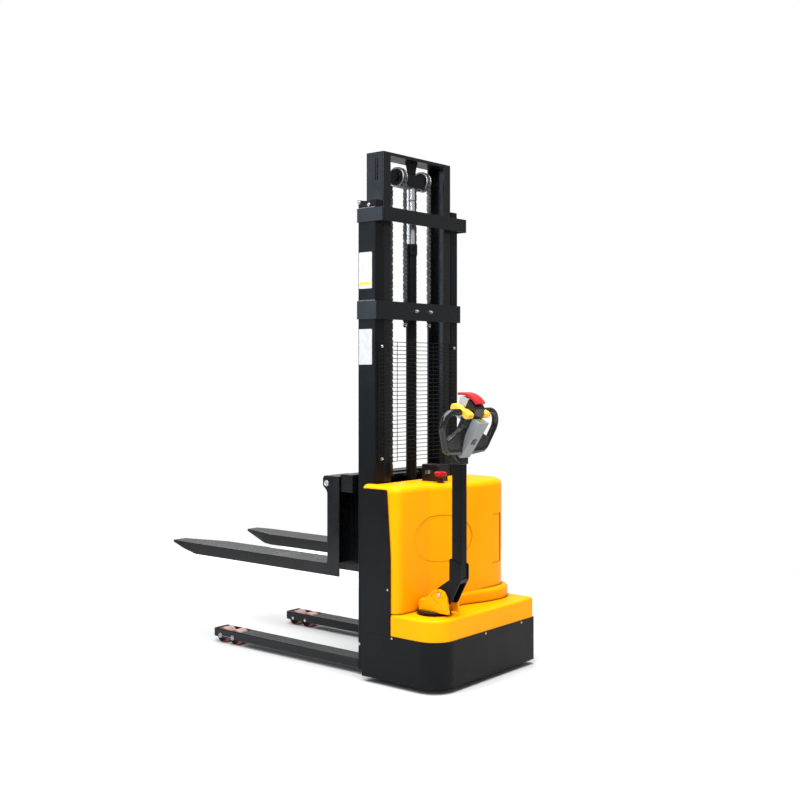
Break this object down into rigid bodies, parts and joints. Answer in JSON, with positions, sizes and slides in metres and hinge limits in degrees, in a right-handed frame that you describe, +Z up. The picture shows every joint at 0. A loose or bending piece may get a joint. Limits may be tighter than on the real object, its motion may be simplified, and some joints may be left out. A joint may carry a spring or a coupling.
{
  "type": "walkie stacker",
  "caption": "Electric walk-behind pallet stacker with straddle legs, two-stage mast, fork carriage and steered tiller head.",
  "frame": {"origin": "on the floor under the middle of the machine's bounding box", "axes": "+Z up, +Y along the forks towards their tips, +X to the truck's right"},
  "size_m": [0.7878, 1.9238, 2.34],
  "materials": {
    "black_steel": "satin",
    "yellow_cover": "gloss",
    "screw_steel": "satin",
    "rod_chrome": "polished",
    "chain_steel": "oiled",
    "roller_steel": "satin",
    "load_roller_pu": "matt",
    "drive_tyre_pu": "matt",
    "caster_tyre_pu": "matt",
    "battery_case": "matt",
    "power_pack": "satin",
    "drive_grey": "satin",
    "black_plastic": "matt",
    "grip_rubber": "semi-gloss",
    "console_grey": "satin",
    "display_glass": "gloss",
    "silver_plastic": "satin",
    "yellow_plastic": "semi-gloss",
    "red_plastic": "gloss",
    "key_steel": "satin"
  },
  "bodies": {
    "truck": {"chassis_base": "black_steel", "side_plate_left": "black_steel", "side_plate_right": "black_steel", "upper_cover": "yellow_cover", "lower_cover": "yellow_cover", "mounting_screws": "screw_steel", "leg_left": "black_steel", "leg_right": "black_steel", "load_axles": "screw_steel", "outer_mast_left": "black_steel", "outer_mast_right": "black_steel", "mast_top_crossbar": "black_steel", "mast_mid_crossbar": "black_steel", "mast_foot": "black_steel", "mast_guard": "black_steel", "lift_cylinder": "black_steel", "battery": "battery_case", "hydraulic_unit": "power_pack", "switch_box": "black_plastic", "estop_base": "black_plastic", "chain_rear_runs": "chain_steel"},
    "inner_mast": {"inner_mast_left": "black_steel", "inner_mast_right": "black_steel", "inner_mast_crown": "black_steel", "inner_mast_tie": "black_steel", "crosshead": "black_steel", "piston_rod": "rod_chrome", "chain_wraps": "chain_steel", "mast_rollers": "roller_steel"},
    "carriage": {"carriage_frame": "black_steel", "fork_left": "black_steel", "fork_right": "black_steel", "carriage_rollers": "roller_steel", "chain_front_runs": "chain_steel"},
    "left_chain_wheel": {"chain_wheel_left": "roller_steel"},
    "right_chain_wheel": {"chain_wheel_right": "roller_steel"},
    "turret": {"drive_gearbox": "drive_grey", "drive_motor": "power_pack", "steer_ring": "black_steel", "tiller_hood": "yellow_cover", "tiller_pin": "screw_steel"},
    "drive_wheel_body": {"drive_wheel": "drive_tyre_pu"},
    "tiller": {"tiller_bracket": "black_steel", "tiller_tube": "black_steel", "head_shell": "grip_rubber", "head_console": "console_grey", "battery_display": "display_glass", "head_cap": "black_plastic", "head_housing": "silver_plastic"},
    "throttle_body": {"throttle": "yellow_plastic"},
    "belly_button_body": {"belly_button": "red_plastic"},
    "lift_rocker_body": {"lift_rocker": "black_plastic"},
    "estop_head": {"estop_cap": "red_plastic"},
    "key": {"ignition_key": "key_steel"},
    "caster": {"caster_fork": "black_steel"},
    "caster_wheel_body": {"caster_wheel": "caster_tyre_pu"},
    "left_front_roller": {"load_roller_left_front": "load_roller_pu"},
    "left_back_roller": {"load_roller_left_back": "load_roller_pu"},
    "right_front_roller": {"load_roller_right_front": "load_roller_pu"},
    "right_back_roller": {"load_roller_right_back": "load_roller_pu"}
  },
  "joints": [
    {"name": "mast_lift", "type": "slide", "parent": "truck", "child": "inner_mast", "axis": [0, 0, 1], "range_m": [-0.197, 1.3], "deforming": ["chain_rear_runs"]},
    {"name": "carriage_lift", "type": "slide", "parent": "inner_mast", "child": "carriage", "axis": [0, 0, 1], "range_m": [-0.197, 1.3], "deforming": ["chain_front_runs"]},
    {"name": "left_chain_wheel_spin", "type": "hinge", "parent": "inner_mast", "child": "left_chain_wheel", "pos_m": [-0.06405, -0.386, 2.246], "axis": [1, 0, 0], "continuous": true},
    {"name": "right_chain_wheel_spin", "type": "hinge", "parent": "inner_mast", "child": "right_chain_wheel", "pos_m": [0.10995, -0.386, 2.246], "axis": [1, 0, 0], "continuous": true},
    {"name": "steer", "type": "hinge", "parent": "truck", "child": "turret", "pos_m": [-0.19305, -0.698, 0.27], "axis": [0, 0, 1], "range_deg": [-80, 80]},
    {"name": "drive_spin", "type": "hinge", "parent": "turret", "child": "drive_wheel_body", "pos_m": [-0.19405, -0.698, 0.105], "axis": [1, 0, 0], "continuous": true},
    {"name": "tiller_pitch", "type": "hinge", "parent": "turret", "child": "tiller", "pos_m": [-0.19305, -0.754, 0.402], "axis": [1, 0, 0], "range_deg": [0, 75], "stiffness_Nm_per_rad": 35, "springref_deg": -28.65},
    {"name": "throttle_turn", "type": "hinge", "parent": "tiller", "child": "throttle_body", "pos_m": [-0.19305, -0.89765, 1.18783], "axis": [1, 0, 0], "range_deg": [-30, 30], "stiffness_Nm_per_rad": 1.5},
    {"name": "belly_press", "type": "slide", "parent": "tiller", "child": "belly_button_body", "axis": [0, 0.4695, -0.8829], "range_m": [0, 0.004], "stiffness_N_per_m": 900, "springref_m": -0.004},
    {"name": "lift_rocker_tilt", "type": "hinge", "parent": "tiller", "child": "lift_rocker_body", "pos_m": [-0.19305, -0.90698, 1.06033], "axis": [1, 0, 0], "range_deg": [-10, 10], "stiffness_Nm_per_rad": 0.6},
    {"name": "estop_press", "type": "slide", "parent": "truck", "child": "estop_head", "axis": [0, 0, -1], "range_m": [0, 0.006]},
    {"name": "key_turn", "type": "hinge", "parent": "truck", "child": "key", "pos_m": [-0.03705, -0.545, 0.902], "axis": [-1, 0, 0], "range_deg": [0, 60]},
    {"name": "caster_swivel", "type": "hinge", "parent": "truck", "child": "caster", "pos_m": [0.24895, -0.7, 0.2], "axis": [0, 0, 1], "continuous": true},
    {"name": "caster_spin", "type": "hinge", "parent": "caster", "child": "caster_wheel_body", "pos_m": [0.24895, -0.73, 0.065], "axis": [1, 0, 0], "continuous": true},
    {"name": "left_front_roller_spin", "type": "hinge", "parent": "truck", "child": "left_front_roller", "pos_m": [-0.23055, 0.591, 0.037], "axis": [1, 0, 0], "continuous": true},
    {"name": "left_back_roller_spin", "type": "hinge", "parent": "truck", "child": "left_back_roller", "pos_m": [-0.23055, 0.502, 0.037], "axis": [1, 0, 0], "continuous": true},
    {"name": "right_front_roller_spin", "type": "hinge", "parent": "truck", "child": "right_front_roller", "pos_m": [0.27645, 0.591, 0.037], "axis": [1, 0, 0], "continuous": true},
    {"name": "right_back_roller_spin", "type": "hinge", "parent": "truck", "child": "right_back_roller", "pos_m": [0.27645, 0.502, 0.037], "axis": [1, 0, 0], "continuous": true}
  ],
  "couplings": [
    {"joint": "carriage_lift", "follows": "mast_lift", "ratio": 1},
    {"joint": "left_chain_wheel_spin", "follows": "mast_lift", "rad_per_m": 23.809},
    {"joint": "right_chain_wheel_spin", "follows": "mast_lift", "rad_per_m": 23.809}
  ]
}
